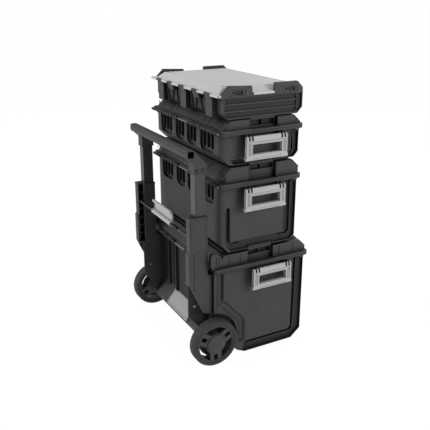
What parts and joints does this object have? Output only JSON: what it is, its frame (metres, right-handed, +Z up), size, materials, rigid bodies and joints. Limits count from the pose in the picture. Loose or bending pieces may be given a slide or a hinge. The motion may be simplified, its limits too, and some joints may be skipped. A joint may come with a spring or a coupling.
{
  "type": "rolling tool box stack",
  "caption": "Rolling stack of hinged tool boxes with a wheeled bin, side latches and a telescopic handle.",
  "frame": {"origin": "on the floor, under the middle of the boxes' rims", "axes": "+Z up; X across the stack, +X on the right when the opening fronts are faced; the fronts face -Y, and the wheels, the hinges and the handle are at +Y"},
  "size_m": [0.5916, 0.4995, 0.9974],
  "materials": {
    "black_plastic": "fine moulded grain",
    "dark_plastic": "smooth satin",
    "latch_grey": "fine moulded grain",
    "lid_grey": "smooth satin",
    "kick_grey": "fine moulded grain",
    "black_tube": "black satin coating",
    "steel": "bright zinc",
    "tyre": "matt tread",
    "seal_rubber": "matt"
  },
  "bodies": {
    "bin": {"bin_body": "black_plastic", "left_post": "black_plastic", "right_post": "black_plastic", "axle": "steel", "kick_plate": "kick_grey", "bin_hinge_rod": "steel", "post_screw_left_1": "steel", "post_screw_left_2": "steel", "post_screw_right_1": "steel", "post_screw_right_2": "steel"},
    "left_wheel": {"wheel_left_tyre": "tyre", "wheel_left_hub": "dark_plastic", "wheel_left_cap": "dark_plastic"},
    "right_wheel": {"wheel_right_tyre": "tyre", "wheel_right_hub": "dark_plastic", "wheel_right_cap": "dark_plastic"},
    "handle": {"handle_tube_left": "black_tube", "handle_tube_right": "black_tube", "handle_foot_left": "dark_plastic", "handle_foot_right": "dark_plastic", "handle_collar_left": "black_plastic", "handle_collar_right": "black_plastic", "collar_screw_left_1": "steel", "collar_screw_left_2": "steel", "collar_screw_right_1": "steel", "collar_screw_right_2": "steel", "handle_grip": "black_plastic"},
    "release": {"release_rod": "steel", "release_paddle": "latch_grey"},
    "bin_top": {"bin_lid": "black_plastic", "bin_lid_seal": "seal_rubber"},
    "medium_box": {"medium_body": "black_plastic", "medium_hinge_rod": "steel"},
    "medium_top": {"medium_lid": "black_plastic", "medium_lid_seal": "seal_rubber"},
    "small_box": {"small_body": "black_plastic", "small_hinge_rod": "steel"},
    "small_top": {"small_lid": "black_plastic", "small_lid_seal": "seal_rubber"},
    "organizer_box": {"organizer_base": "black_plastic", "organizer_hinge_rod": "steel", "organizer_dividers": "dark_plastic"},
    "organizer_top": {"organizer_lid": "lid_grey"},
    "bin_side_catch_left": {"bin_side_latch_left": "latch_grey"},
    "bin_side_catch_right": {"bin_side_latch_right": "latch_grey"},
    "medium_side_catch_left": {"medium_side_latch_left": "latch_grey"},
    "medium_side_catch_right": {"medium_side_latch_right": "latch_grey"},
    "small_side_catch_left": {"small_side_latch_left": "latch_grey"},
    "small_side_catch_right": {"small_side_latch_right": "latch_grey"},
    "bin_front_catch_left": {"bin_front_latch_left": "latch_grey"},
    "bin_front_catch_right": {"bin_front_latch_right": "latch_grey"},
    "medium_front_catch_left": {"medium_front_latch_left": "latch_grey"},
    "medium_front_catch_right": {"medium_front_latch_right": "latch_grey"},
    "small_front_catch_left": {"small_front_latch_left": "latch_grey"},
    "small_front_catch_right": {"small_front_latch_right": "latch_grey"},
    "organizer_front_catch_left": {"organizer_front_latch_left": "latch_grey"},
    "organizer_front_catch_right": {"organizer_front_latch_right": "latch_grey"},
    "medium_bail": {"medium_carry_handle": "black_plastic"},
    "small_bail": {"small_carry_handle": "black_plastic"},
    "organizer_bail": {"organizer_carry_handle": "black_plastic"}
  },
  "joints": [
    {"name": "left_wheel_spin", "type": "hinge", "parent": "bin", "child": "left_wheel", "pos_m": [-0.2725, 0.187, 0.089], "axis": [1, 0, 0], "continuous": true},
    {"name": "right_wheel_spin", "type": "hinge", "parent": "bin", "child": "right_wheel", "pos_m": [0.2725, 0.187, 0.089], "axis": [1, 0, 0], "continuous": true},
    {"name": "handle_slide", "type": "slide", "parent": "bin", "child": "handle", "axis": [0, 0, 1], "range_m": [-0.148, 0]},
    {"name": "release_press", "type": "hinge", "parent": "bin", "child": "release", "pos_m": [0, 0.257, 0.493], "axis": [1, 0, 0], "range_deg": [0, 20], "stiffness_Nm_per_rad": 0.5},
    {"name": "bin_lid_hinge", "type": "hinge", "parent": "bin", "child": "bin_top", "pos_m": [0, 0.189, 0.363], "axis": [-1, 0, 0], "range_deg": [0, 4]},
    {"name": "medium_lift", "type": "slide", "parent": "bin_top", "child": "medium_box", "axis": [0, 0, 1], "range_m": [0, 0.4]},
    {"name": "medium_lid_hinge", "type": "hinge", "parent": "medium_box", "child": "medium_top", "pos_m": [0, 0.168, 0.6683], "axis": [-1, 0, 0], "range_deg": [0, 18]},
    {"name": "small_lift", "type": "slide", "parent": "medium_top", "child": "small_box", "axis": [0, 0, 1], "range_m": [0, 0.1]},
    {"name": "small_lid_hinge", "type": "hinge", "parent": "small_box", "child": "small_top", "pos_m": [0, 0.168, 0.8471], "axis": [-1, 0, 0], "range_deg": [0, 95]},
    {"name": "organizer_lift", "type": "slide", "parent": "small_top", "child": "organizer_box", "axis": [0, 0, 1], "range_m": [0, 0.12]},
    {"name": "organizer_lid_hinge", "type": "hinge", "parent": "organizer_box", "child": "organizer_top", "pos_m": [0, 0.166, 0.9664], "axis": [-1, 0, 0], "range_deg": [0, 105]},
    {"name": "bin_side_left_swing", "type": "hinge", "parent": "bin", "child": "bin_side_catch_left", "pos_m": [-0.288, -0.0455, 0.342], "axis": [0, 1, 0], "range_deg": [0, 175]},
    {"name": "bin_side_right_swing", "type": "hinge", "parent": "bin", "child": "bin_side_catch_right", "pos_m": [0.288, -0.0455, 0.342], "axis": [0, -1, 0], "range_deg": [0, 175]},
    {"name": "medium_side_left_swing", "type": "hinge", "parent": "medium_box", "child": "medium_side_catch_left", "pos_m": [-0.288, -0.0065, 0.6473], "axis": [0, 1, 0], "range_deg": [0, 175]},
    {"name": "medium_side_right_swing", "type": "hinge", "parent": "medium_box", "child": "medium_side_catch_right", "pos_m": [0.288, -0.0065, 0.6473], "axis": [0, -1, 0], "range_deg": [0, 175]},
    {"name": "small_side_left_swing", "type": "hinge", "parent": "small_box", "child": "small_side_catch_left", "pos_m": [-0.288, -0.0065, 0.8261], "axis": [0, 1, 0], "range_deg": [0, 175]},
    {"name": "small_side_right_swing", "type": "hinge", "parent": "small_box", "child": "small_side_catch_right", "pos_m": [0.288, -0.0065, 0.8261], "axis": [0, -1, 0], "range_deg": [0, 175]},
    {"name": "bin_front_left_swing", "type": "hinge", "parent": "bin_top", "child": "bin_front_catch_left", "pos_m": [-0.165, -0.217, 0.367], "axis": [-1, 0, 0], "range_deg": [0, 120]},
    {"name": "bin_front_right_swing", "type": "hinge", "parent": "bin_top", "child": "bin_front_catch_right", "pos_m": [0.165, -0.217, 0.367], "axis": [-1, 0, 0], "range_deg": [0, 120]},
    {"name": "medium_front_left_swing", "type": "hinge", "parent": "medium_top", "child": "medium_front_catch_left", "pos_m": [-0.165, -0.169, 0.6723], "axis": [-1, 0, 0], "range_deg": [0, 120]},
    {"name": "medium_front_right_swing", "type": "hinge", "parent": "medium_top", "child": "medium_front_catch_right", "pos_m": [0.165, -0.169, 0.6723], "axis": [-1, 0, 0], "range_deg": [0, 120]},
    {"name": "small_front_left_swing", "type": "hinge", "parent": "small_top", "child": "small_front_catch_left", "pos_m": [-0.165, -0.169, 0.8511], "axis": [-1, 0, 0], "range_deg": [0, 120]},
    {"name": "small_front_right_swing", "type": "hinge", "parent": "small_top", "child": "small_front_catch_right", "pos_m": [0.165, -0.169, 0.8511], "axis": [-1, 0, 0], "range_deg": [0, 120]},
    {"name": "organizer_front_left_swing", "type": "hinge", "parent": "organizer_top", "child": "organizer_front_catch_left", "pos_m": [-0.165, -0.173, 0.9664], "axis": [-1, 0, 0], "range_deg": [0, 120]},
    {"name": "organizer_front_right_swing", "type": "hinge", "parent": "organizer_top", "child": "organizer_front_catch_right", "pos_m": [0.165, -0.173, 0.9664], "axis": [-1, 0, 0], "range_deg": [0, 120]},
    {"name": "medium_bail_swing", "type": "hinge", "parent": "medium_box", "child": "medium_bail", "pos_m": [0, -0.17, 0.6383], "axis": [-1, 0, 0], "range_deg": [0, 90]},
    {"name": "small_bail_swing", "type": "hinge", "parent": "small_box", "child": "small_bail", "pos_m": [0, -0.17, 0.8171], "axis": [-1, 0, 0], "range_deg": [0, 90]},
    {"name": "organizer_bail_swing", "type": "hinge", "parent": "organizer_box", "child": "organizer_bail", "pos_m": [0, -0.177, 0.9444], "axis": [-1, 0, 0], "range_deg": [0, 90]}
  ]
}
